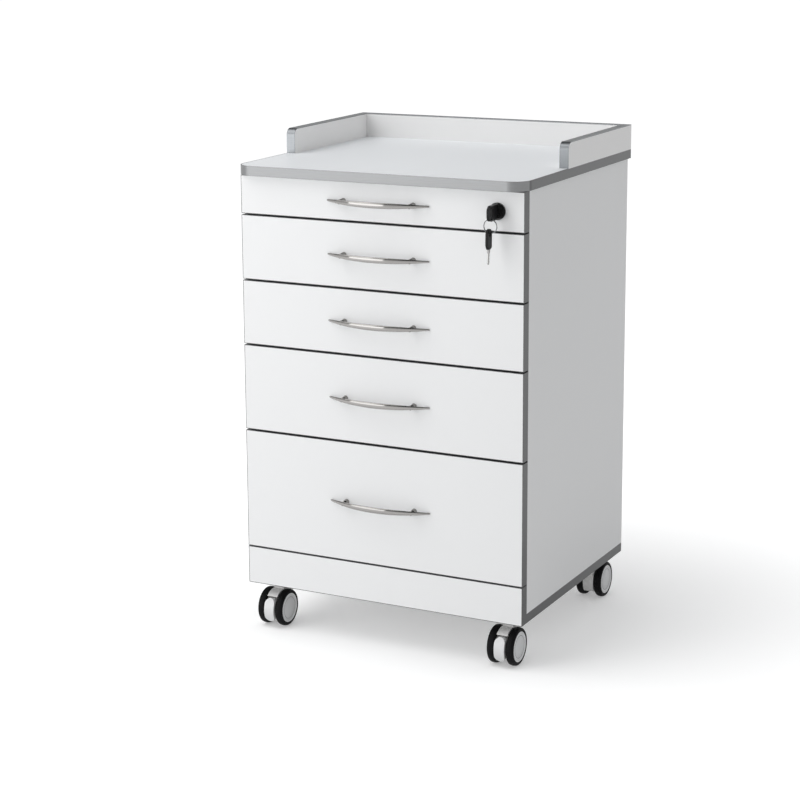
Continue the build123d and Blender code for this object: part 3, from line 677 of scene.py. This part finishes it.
def finish_of(name):
    """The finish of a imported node, from its name."""
    if name.endswith("_front") or name == "plinth_panel":
        return banded_laminate(name)
    if name.endswith("_box"):
        return laminate(name, *BOX_LOOK)
    for ending, key in FINISH_BY_ENDING.items():
        if name.endswith(ending):
            return materials[key]
    # the worktop and the gallery boards get levels with painted light and shade
    return laminate(name, *BOARD_PAINTED_LIGHT_LOOKS.get(name, (WHITE, BOARD_WARMTH)))


for name, node in nodes.items():
    finish = finish_of(name)
    for slot in node.material_slots:
        slot.material = finish


# ---- making pieces ----
def rest_on(piece, node):
    """The piece moves with the body that the node belongs to."""
    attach(piece, nodes[node]["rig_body"])


def add(name, mesh, *finishes):
    for finish in finishes:
        mesh.materials.append(materials[finish])
    piece = bpy.data.objects.new(name, mesh)
    bpy.context.scene.collection.objects.link(piece)
    return piece


def on_axis(axis, out, across, up):
    """A point out along the axis, and across and up from it."""
    return Vector((out, across, up)) if axis == "X" else Vector((across, out, up))


def turned(profile, centre, side, ring=False, axis="X", steps=LATHE_STEPS):
    """A closed solid turned about an axis through centre, from (out, radius) points.

    Out is measured from centre along the axis, towards its plus end where side is 1.
    A ring's profile is a loop, and any other profile starts and ends on the axis."""
    mesh = bpy.data.meshes.new("turned")
    shape = bmesh.new()
    rings = []
    for out, radius in profile:
        if radius == 0:
            rings.append([shape.verts.new(centre + on_axis(axis, side * out, 0, 0))] * steps)
            continue
        loop = []
        for step in range(steps):
            angle = 2 * pi * step / steps
            offset = on_axis(axis, side * out, radius * cos(angle), radius * sin(angle))
            loop.append(shape.verts.new(centre + offset))
        rings.append(loop)
    following_rings = rings[1:] + rings[:1] if ring else rings[1:]
    for near, far in zip(rings, following_rings):
        for step in range(steps):
            following = (step + 1) % steps
            corners = [near[step], near[following], far[following], far[step]]
            face = shape.faces.new(list(dict.fromkeys(corners)))
            face.smooth = True
    bmesh.ops.recalc_face_normals(shape, faces=shape.faces)
    shape.to_mesh(mesh)
    shape.free()
    return mesh


def shoulder_points(out, radius, start):
    """A quarter turn of the tyre's shoulder about (out, radius), from start degrees."""
    steps = range(TYRE_SHOULDER_STEPS + 1)
    turns = [radians(start - 90 * step / TYRE_SHOULDER_STEPS) for step in steps]
    return [
        (out + TYRE_SHOULDER * cos(turn), radius + TYRE_SHOULDER * sin(turn)) for turn in turns
    ]


# ---- geometry node trees ----
class Rule:
    """A Geometry Nodes tree with a named input for each size, its place and its finish."""

    def __init__(self, name, *sizes):
        self.tree = bpy.data.node_groups.new(name, "GeometryNodeTree")
        self.identifiers = {}
        self.add_socket("Geometry", "OUTPUT", "NodeSocketGeometry")
        for size in sizes:
            self.add_socket(size, "INPUT", "NodeSocketFloat")
        self.add_socket("Place", "INPUT", "NodeSocketVector")
        self.add_socket("Finish", "INPUT", "NodeSocketMaterial")
        self.inputs = self.tree.nodes.new("NodeGroupInput")

    def add_socket(self, label, way, kind):
        made = self.tree.interface.new_socket(label, in_out=way, socket_type=kind)
        self.identifiers[label] = made.identifier

    def given(self, label):
        return self.inputs.outputs[label]

    def node(self, kind, settings=None, sockets=None):
        return add_node(self.tree, "GeometryNode" + kind, settings, sockets).outputs[0]

    def sweep(self, path, section):
        sockets = {"Curve": path, "Profile Curve": section, "Fill Caps": True}
        swept = self.node("CurveToMesh", sockets=sockets)
        return self.node("SetShadeSmooth", sockets={"Geometry": swept})

    def done(self, geometry, rotation=(0, 0, 0)):
        """Ends the tree: turned, placed, instances made real, and given its finish."""
        sockets = {"Geometry": geometry, "Translation": self.given("Place")}
        placed = self.node("Transform", sockets={**sockets, "Rotation": rotation})
        real = self.node("RealizeInstances", sockets={0: placed})
        sockets = {"Geometry": real, "Material": self.given("Finish")}
        shown = self.node("SetMaterial", sockets=sockets)
        self.tree.links.new(shown, self.tree.nodes.new("NodeGroupOutput").inputs[0])
        return self

    def make(self, name, **values):
        """A plain mesh object that the tree makes from these values."""
        piece = bpy.data.objects.new(name, bpy.data.meshes.new(name))
        bpy.context.scene.collection.objects.link(piece)
        modifier = piece.modifiers.new("rule", "NODES")
        modifier.node_group = self.tree
        for label, value in values.items():
            modifier[self.identifiers[label]] = value
        graph = bpy.context.evaluated_depsgraph_get()
        mesh = bpy.data.meshes.new_from_object(piece.evaluated_get(graph), depsgraph=graph)
        piece.modifiers.clear()
        piece.data = mesh
        return piece


def ring_rule():
    """A rim: a rounded section swept round the X axis through a point."""
    rule = Rule("swept_ring", "Radius", "Width", "Depth", "Corner")
    sockets = {"Resolution": LATHE_STEPS, "Radius": rule.given("Radius")}
    path = rule.node("CurvePrimitiveCircle", sockets=sockets)
    sockets = {"Width": rule.given("Depth"), "Height": rule.given("Width")}
    section = rule.node("CurvePrimitiveQuadrilateral", sockets=sockets)
    sockets = {
        "Curve": section,
        "Count": CAP_RIM_CORNER_POINTS,
        "Radius": rule.given("Corner"),
        "Limit Radius": True,
    }
    rounded = rule.node("FilletCurve", {"mode": "POLY"}, sockets)
    return rule.done(rule.sweep(path, rounded), rotation=(0, pi / 2, 0))


def coil_rule():
    """A split ring: one wire wound nearly twice round the Y axis through a point."""
    rule = Rule("split_ring", "Radius", "Turns", "Pitch", "Wire")
    sockets = {
        "Resolution": COIL_STEPS,
        "Rotations": rule.given("Turns"),
        "Start Radius": rule.given("Radius"),
        "End Radius": rule.given("Radius"),
        "Height": rule.given("Pitch"),
    }
    path = rule.node("CurveSpiral", sockets=sockets)
    sockets = {"Resolution": COIL_WIRE_POINTS, "Radius": rule.given("Wire")}
    section = rule.node("CurvePrimitiveCircle", sockets=sockets)
    return rule.done(rule.sweep(path, section), rotation=(pi / 2, 0, 0))


def screw_rule():
    """Four domed screw heads at the corners of a square, heads down."""
    rule = Rule("plate_screws", "Spacing", "Radius", "Dome", "Height")
    sockets = {
        "Size X": rule.given("Spacing"),
        "Size Y": rule.given("Spacing"),
        "Vertices X": 2,
        "Vertices Y": 2,
    }
    corners = rule.node("MeshGrid", sockets=sockets)
    sockets = {
        "Vertices": PLATE_SCREW_FACES,
        "Radius Top": rule.given("Radius"),
        "Radius Bottom": rule.given("Dome"),
        "Depth": rule.given("Height"),
    }
    head = rule.node("MeshCone", {"fill_type": "NGON"}, sockets)
    heads = rule.node("InstanceOnPoints", sockets={"Points": corners, "Instance": head})
    return rule.done(heads)


swept_ring = ring_rule()
split_ring = coil_rule()
plate_screws = screw_rule()

# ---- casters ----
CASTER_NAMES = [
    f"caster_{end}_{side}" for end in ("front", "rear") for side in ("left", "right")
]


def tyre_profile(half_width, core_radius, radius):
    """Rounded shoulders outside, a small lip beside the core, and a slightly crowned tread."""
    shoulder = half_width - TYRE_SHOULDER
    crown_edge = radius - TREAD_CROWN
    points = [(-half_width + TYRE_LIP, core_radius), (-half_width, core_radius + TYRE_LIP)]
    points += shoulder_points(-shoulder, crown_edge - TYRE_SHOULDER, 180)
    points.append((0, radius))
    points += shoulder_points(shoulder, crown_edge - TYRE_SHOULDER, 90)
    points += [(half_width, core_radius + TYRE_LIP), (half_width - TYRE_LIP, core_radius)]
    return points


def cap_profile(half_width, core_radius):
    """From the inner face of the core, over its rim seat and groove, to the crowned middle."""
    face = half_width - CAP_FACE_INSET
    back = -half_width + CAP_BACK_INSET
    edge = core_radius - CAP_RIM_WIDTH
    groove_outside = CAP_GROOVE_RADIUS + CAP_GROOVE_DEPTH
    groove_inside = CAP_GROOVE_RADIUS - CAP_GROOVE_DEPTH

    def crowned(at):
        return face + CAP_CROWN * (1 - (at / edge) ** 2)

    points = [(back, 0), (back, core_radius), (face - CAP_GROOVE_DEPTH, core_radius)]
    points += [(face - CAP_GROOVE_DEPTH, edge), (face, edge - CAP_GROOVE_DEPTH)]
    for share in (0.25, 0.5, 0.75, 1.0):
        at = edge + (groove_outside - edge) * share
        points.append((crowned(at), at))
    rise = crowned(CAP_GROOVE_RADIUS)
    points += [(rise - CAP_GROOVE_DEPTH, CAP_GROOVE_RADIUS), (rise, groove_inside)]
    points += [(crowned(groove_inside / 2), groove_inside / 2), (crowned(0), 0)]
    return points


def dress_wheel(node, side):
    """A tyre, and a grey core with a rim painted paler as a highlight, a crowned cap, and a
    groove painted dark as shade.
    """
    low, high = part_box(node)
    middle = (low + high) / 2
    half_width = (high.x - low.x) / 2
    radius = (high.z - low.z) / 2
    core_radius = radius - TYRE_WALL
    tyre_mesh = turned(tyre_profile(half_width, core_radius, radius), middle, side, ring=True)
    tyre = add(f"{node}_tyre", tyre_mesh, "tyre")
    rest_on(tyre, node)
    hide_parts(node)
    cap_mesh = turned(cap_profile(half_width, core_radius), middle, side)
    cap = add(f"{node}_cap", cap_mesh, "cap", "cap_groove")
    # the groove's faces get the dark grey of painted shade
    for polygon in cap_mesh.polygons:
        spot = polygon.center - middle
        if abs(Vector((0, spot.y, spot.z)).length - CAP_GROOVE_RADIUS) < CAP_GROOVE_DEPTH:
            polygon.material_index = 1
    rest_on(cap, node)
    rim_x = side * (half_width - CAP_FACE_INSET - CAP_RIM_DEPTH / 2 + CAP_RIM_PROUD)
    # the rim, painted paler as a highlight
    rim = swept_ring.make(
        f"{node}_rim",
        Radius=core_radius - CAP_RIM_WIDTH / 2,
        Width=CAP_RIM_DEPTH,
        Depth=CAP_RIM_WIDTH,
        Corner=CAP_RIM_CORNER,
        Place=middle + Vector((rim_x, 0, 0)),
        Finish=materials["cap_rim"],
    )
    rest_on(rim, node)


for caster in CASTER_NAMES:
    dress_wheel(f"{caster}_wheel_left", -1)
    dress_wheel(f"{caster}_wheel_right", 1)

plates_low, plates_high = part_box("caster_plates")
plate_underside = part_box("bottom_board")[0].z - PLATE_THICKNESS
plate_x = {"left": plates_low.x + PLATE_SIZE / 2, "right": plates_high.x - PLATE_SIZE / 2}
plate_y = {"front": plates_low.y + PLATE_SIZE / 2, "rear": plates_high.y - PLATE_SIZE / 2}
for side, x in plate_x.items():
    for end, y in plate_y.items():
        heads = plate_screws.make(
            f"caster_{end}_{side}_plate_screw_heads",
            Spacing=PLATE_SCREW_SPACING,
            Radius=PLATE_SCREW_HEAD_RADIUS,
            Dome=PLATE_SCREW_DOME_RADIUS,
            Height=PLATE_SCREW_HEAD_HEIGHT,
            Place=(x, y, plate_underside - PLATE_SCREW_HEAD_HEIGHT),
            Finish=materials["screws"],
        )
        rest_on(heads, "caster_plates")


# ---- bow handles ----
def arc_rise(x, half, sagitta):
    """How far an arc over 2 * half falls away from its middle at x, for that full sagitta."""
    radius = (half**2 + sagitta**2) / (2 * sagitta)
    return radius - sqrt(radius**2 - x**2)


def bow_section(x):
    """The middle, half thickness and half height of the bow at x, with the front at Y = 0."""
    half = HANDLE_LENGTH / 2
    tip_front = -HANDLE_TIP_STANDOFF - HANDLE_TIP_THICKNESS
    outer = -HANDLE_PROJECTION + arc_rise(x, half, HANDLE_PROJECTION + tip_front)
    inner_middle = -HANDLE_PROJECTION + HANDLE_THICKNESS
    inner = inner_middle + arc_rise(x, half, -HANDLE_TIP_STANDOFF - inner_middle)
    fall = (HANDLE_HEIGHT - HANDLE_TIP_HEIGHT) / 2
    return (outer + inner) / 2, (inner - outer) / 2, HANDLE_HEIGHT / 2 - arc_rise(x, half, fall)


def bow_mesh(front_y, middle_z):
    """A leaf-shaped bow with an oval section, closed at its two tips."""
    half = HANDLE_LENGTH / 2
    shape = bmesh.new()
    loops = []
    stations = [-half + HANDLE_LENGTH * k / BOW_STATIONS for k in range(BOW_STATIONS + 1)]
    for x in stations:
        middle, thick, high = bow_section(x)
        shrink = BOW_TIP_SHARE if abs(x) == half else 1
        loop = []
        for step in range(BOW_SECTION_POINTS):
            turn = 2 * pi * step / BOW_SECTION_POINTS
            across = copysign(abs(cos(turn)) ** BOW_FULLNESS, cos(turn))
            up = copysign(abs(sin(turn)) ** BOW_FULLNESS, sin(turn))
            y = front_y + middle + thick * across * shrink
            loop.append(shape.verts.new((x, y, middle_z + high * up * shrink)))
        loops.append(loop)
    for near, far in zip(loops, loops[1:]):
        for step in range(BOW_SECTION_POINTS):
            after = (step + 1) % BOW_SECTION_POINTS
            shape.faces.new((near[step], near[after], far[after], far[step])).smooth = True
    for loop in (loops[0], loops[-1]):
        shape.faces.new(loop)
    bmesh.ops.recalc_face_normals(shape, faces=shape.faces)
    mesh = bpy.data.meshes.new("bow")
    shape.to_mesh(mesh)
    shape.free()
    return mesh


def joined(name, meshes, finish):
    """One piece made of several closed meshes."""
    shape = bmesh.new()
    for mesh in meshes:
        shape.from_mesh(mesh)
    whole = bpy.data.meshes.new(name)
    shape.to_mesh(whole)
    shape.free()
    return add(name, whole, finish)


def post_profile(reach):
    flare = HANDLE_POST_RADIUS + POST_FLARE
    flared = [(0, 0), (0, flare), (POST_FLARE / 2, flare), (2 * POST_FLARE, HANDLE_POST_RADIUS)]
    return flared + [(reach, HANDLE_POST_RADIUS), (reach, 0)]


def screw_head_profile():
    """A chamfered head with a round socket."""
    middle = SCREW_HEAD_HEIGHT / 2
    chamfer_height, chamfer_radius = SCREW_HEAD_CHAMFER
    return [
        (0, 0),
        (0, SCREW_HEAD_RADIUS),
        (middle, SCREW_HEAD_RADIUS),
        (SCREW_HEAD_HEIGHT * chamfer_height, SCREW_HEAD_RADIUS * chamfer_radius),
        (SCREW_HEAD_HEIGHT, SCREW_SOCKET_RADIUS),
        (middle, SCREW_SOCKET_RADIUS),
        (middle, 0),
    ]


def dress_handle(number):
    """The bow, its two posts, and the two screws whose heads sit inside the drawer."""
    node = f"drawer_{number}_handle"
    low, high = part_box(f"drawer_{number}_front")
    middle_z = (low.z + high.z) / 2
    bow = add(f"{node}_bow", bow_mesh(low.y, middle_z), "nickel")
    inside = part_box(node)[1].y
    reach = -bow_section(HANDLE_HOLE_SPACING / 2)[0]
    posts = []
    screws = []
    for x in (-HANDLE_HOLE_SPACING / 2, HANDLE_HOLE_SPACING / 2):
        foot = Vector((x, low.y, middle_z))
        posts.append(turned(post_profile(reach), foot, -1, axis="Y", steps=POST_STEPS))
        seat = Vector((x, inside - SCREW_HEAD_HEIGHT, middle_z))
        screws.append(turned(screw_head_profile(), seat, 1, axis="Y", steps=POST_STEPS))
    for piece, slot in (
        (bow, "brushed_nickel"),
        (joined(f"{node}_posts", posts, "nickel"), "brushed_nickel"),
        (joined(f"{node}_screws", screws, "screws"), "screw_steel"),
    ):
        rest_on(piece, node)
        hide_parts(node)


for number in range(1, 6):
    dress_handle(number)


# ---- key ring and spare key ----
ring_low, ring_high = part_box("key_ring")
ring_centre = (ring_low + ring_high) / 2
ring_radius = (ring_high.z - ring_low.z) / 2 - RING_WIRE
coil = split_ring.make(
    "key_ring_coil",
    Radius=ring_radius,
    Turns=RING_TURNS,
    Pitch=2 * COIL_WIRE,
    Wire=COIL_WIRE,
    Place=ring_centre + Vector((0, COIL_WIRE, 0)),
    Finish=materials["ring"],
)
rest_on(coil, "key_ring")
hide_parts("key_ring")


def outline_solid(points, half, hole=None):
    """A flat piece in the YZ plane, half thick on each side."""
    shape = bmesh.new()
    verts = [shape.verts.new((0, y, z)) for y, z in points]
    face = shape.faces.new(verts)
    if hole:
        bmesh.ops.delete(shape, geom=[face], context="FACES_ONLY")
        inner = [shape.verts.new((0, y, z)) for y, z in hole]
        edges = []
        for loop in (verts, inner):
            for one, two in zip(loop, loop[1:] + loop[:1]):
                edges.append(shape.edges.get((one, two)) or shape.edges.new((one, two)))
        bmesh.ops.triangle_fill(shape, edges=edges, use_beauty=True)
    faces = list(shape.faces)
    bmesh.ops.translate(shape, verts=shape.verts, vec=(-half, 0, 0))
    grown = bmesh.ops.extrude_face_region(shape, geom=faces)
    moved = [part for part in grown["geom"] if isinstance(part, bmesh.types.BMVert)]
    bmesh.ops.translate(shape, verts=moved, vec=(2 * half, 0, 0))
    bmesh.ops.recalc_face_normals(shape, faces=shape.faces)
    mesh = bpy.data.meshes.new("outline")
    shape.to_mesh(mesh)
    shape.free()
    return mesh


def circle_points(y, z, radius, steps=24):
    return [
        (y + radius * cos(2 * pi * k / steps), z + radius * sin(2 * pi * k / steps))
        for k in range(steps)
    ]


def spare_key_outlines():
    """The head, the collar and the blade as (y, z) points, from the top of the head down."""
    shoulder = SPARE_KEY_WIDTH / 2
    sole = -SPARE_KEY_LENGTH
    turns = [pi * step / SPARE_KEY_CROWN_STEPS for step in range(SPARE_KEY_CROWN_STEPS + 1)]
    head = [(shoulder * cos(turn), shoulder * (sin(turn) - 1)) for turn in turns]
    head += [(-shoulder, sole + SPARE_KEY_TAPER_FRONT), (-SPARE_KEY_SOLE / 2, sole)]
    head += [(SPARE_KEY_SOLE / 2, sole), (shoulder, sole + SPARE_KEY_TAPER_REAR)]
    foot = sole - COLLAR_LENGTH
    wide = COLLAR_WIDTH / 2 + COLLAR_FLARE
    collar = [(wide, sole + COLLAR_OVERLAP), (-wide, sole + COLLAR_OVERLAP)]
    collar += [(-COLLAR_WIDTH / 2, foot), (COLLAR_WIDTH / 2, foot)]
    half = BLADE_WIDTH / 2
    tip = foot - BLADE_LENGTH
    bite = BLADE_LENGTH / (len(BLADE_CUTS) + 1)
    blade = [(half, foot + BLADE_OVERLAP)]
    blade += [(half - cut, foot - bite * (k + 1)) for k, cut in enumerate(BLADE_CUTS)]
    blade += [(BLADE_TIP_WIDTH / 2, tip), (-BLADE_TIP_WIDTH / 2, tip)]
    blade += [(-half, tip + BLADE_TIP_TAPER), (-half, foot + BLADE_OVERLAP)]
    return head, collar, blade


def spare_key():
    """A second key that hangs from the ring, with its blade down."""
    head, collar, blade = spare_key_outlines()
    hole = circle_points(0, 2 * RING_WIRE - SPARE_KEY_HOLE - SPARE_KEY_RISE, SPARE_KEY_HOLE)
    top = ring_low.z + SPARE_KEY_RISE
    lean = Matrix.Rotation(radians(SPARE_KEY_LEAN), 4, "X")
    place = Matrix.Translation((ring_centre.x + SPARE_KEY_OFFSET, ring_centre.y, top)) @ lean
    for part, mesh, finish, bevel in (
        ("head", outline_solid(head, SPARE_KEY_THICKNESS / 2, hole), "key_head", HEAD_BEVEL),
        ("collar", outline_solid(collar, COLLAR_THICKNESS / 2), "key_steel", COLLAR_BEVEL),
        ("blade", outline_solid(blade, BLADE_THICKNESS / 2), "key_steel", BLADE_BEVEL),
    ):
        piece = add(f"spare_key_{part}", mesh, finish)
        piece.data.transform(place)
        modifier = piece.modifiers.new("soft_edges", "BEVEL")
        modifier.width = bevel
        modifier.segments = BEVEL_STEPS
        modifier.limit_method = "ANGLE"
        rest_on(piece, "key_ring")


spare_key()

# ---- floor, light and camera ----
bpy.ops.mesh.primitive_plane_add(size=FLOOR_SIZE)
floor = bpy.context.object
floor.name = "floor"
floor.data.materials.append(floor_finish("floor_white"))


def soft_box(name, place, target, size, power):
    """A rectangular lamp that faces the target."""
    lamp = bpy.data.lights.new(name, "AREA")
    lamp.shape = "RECTANGLE"
    lamp.size, lamp.size_y = size
    lamp.energy = power
    holder = bpy.data.objects.new(name, lamp)
    bpy.context.scene.collection.objects.link(holder)
    holder.location = place
    holder.rotation_mode = "QUATERNION"
    holder.rotation_quaternion = (Vector(target) - Vector(place)).to_track_quat("-Z", "Y")


soft_box(
    "front_left_box",
    place=(-1.75, -2.85, 0.95),
    target=(0, -0.2, 0.6),
    size=(2.4, 1.7),
    power=28.5,
)
soft_box(
    "high_left_box",
    place=(-1.6, -1.2, 2.9),
    target=(0, 0, 0.5),
    size=(2.6, 2.6),
    power=50,
)


def light_world():
    """Soft fill from all round. Seen directly, or in gloss or glass, it is a white room with
    a darker ceiling."""
    world = bpy.data.worlds.new("studio")
    bpy.context.scene.world = world
    room = Finish("studio", world)
    direction = room.node("TexCoord", output="Generated")
    height = room.node("SeparateXYZ", sockets={0: direction}, output="Z")
    sockets = {"Value": height, "From Min": WALL_TOP, "From Max": CEILING_EDGE}
    rise = room.node("MapRange", sockets=sockets)
    fill = room.light("Background", FILL_COLOUR, FILL_LEVEL)
    walls = room.light("Background", WHITE_LIGHT, 1.0)
    ceiling = room.light("Background", WHITE_LIGHT, CEILING_LEVEL)
    room.done(room.blend(room.seen(), fill, room.blend(rise, walls, ceiling)))


light_world()


def photograph_camera():
    data = bpy.data.cameras.new("camera")
    data.lens = CAMERA_LENS
    data.shift_x, data.shift_y = CAMERA_SHIFT
    data.clip_end = CAMERA_REACH
    camera = bpy.data.objects.new("camera", data)
    bpy.context.scene.collection.objects.link(camera)
    forward = cos(CAMERA_PITCH)
    ahead = Vector((-sin(CAMERA_YAW) * forward, cos(CAMERA_YAW) * forward, sin(CAMERA_PITCH)))
    level = Vector((cos(CAMERA_YAW), sin(CAMERA_YAW), 0))
    above = level.cross(ahead)
    right = cos(CAMERA_ROLL) * level + sin(CAMERA_ROLL) * above
    up = cos(CAMERA_ROLL) * above - sin(CAMERA_ROLL) * level
    turned_to = Matrix((right, up, -ahead)).transposed()
    place = Vector(CAMERA_PLACE) + Vector((0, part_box("drawer_1_front")[0].y, 0))
    camera.matrix_world = Matrix.Translation(place) @ turned_to.to_4x4()
    bpy.context.scene.camera = camera


photograph_camera()
bpy.context.scene.view_settings.view_transform = "Standard"
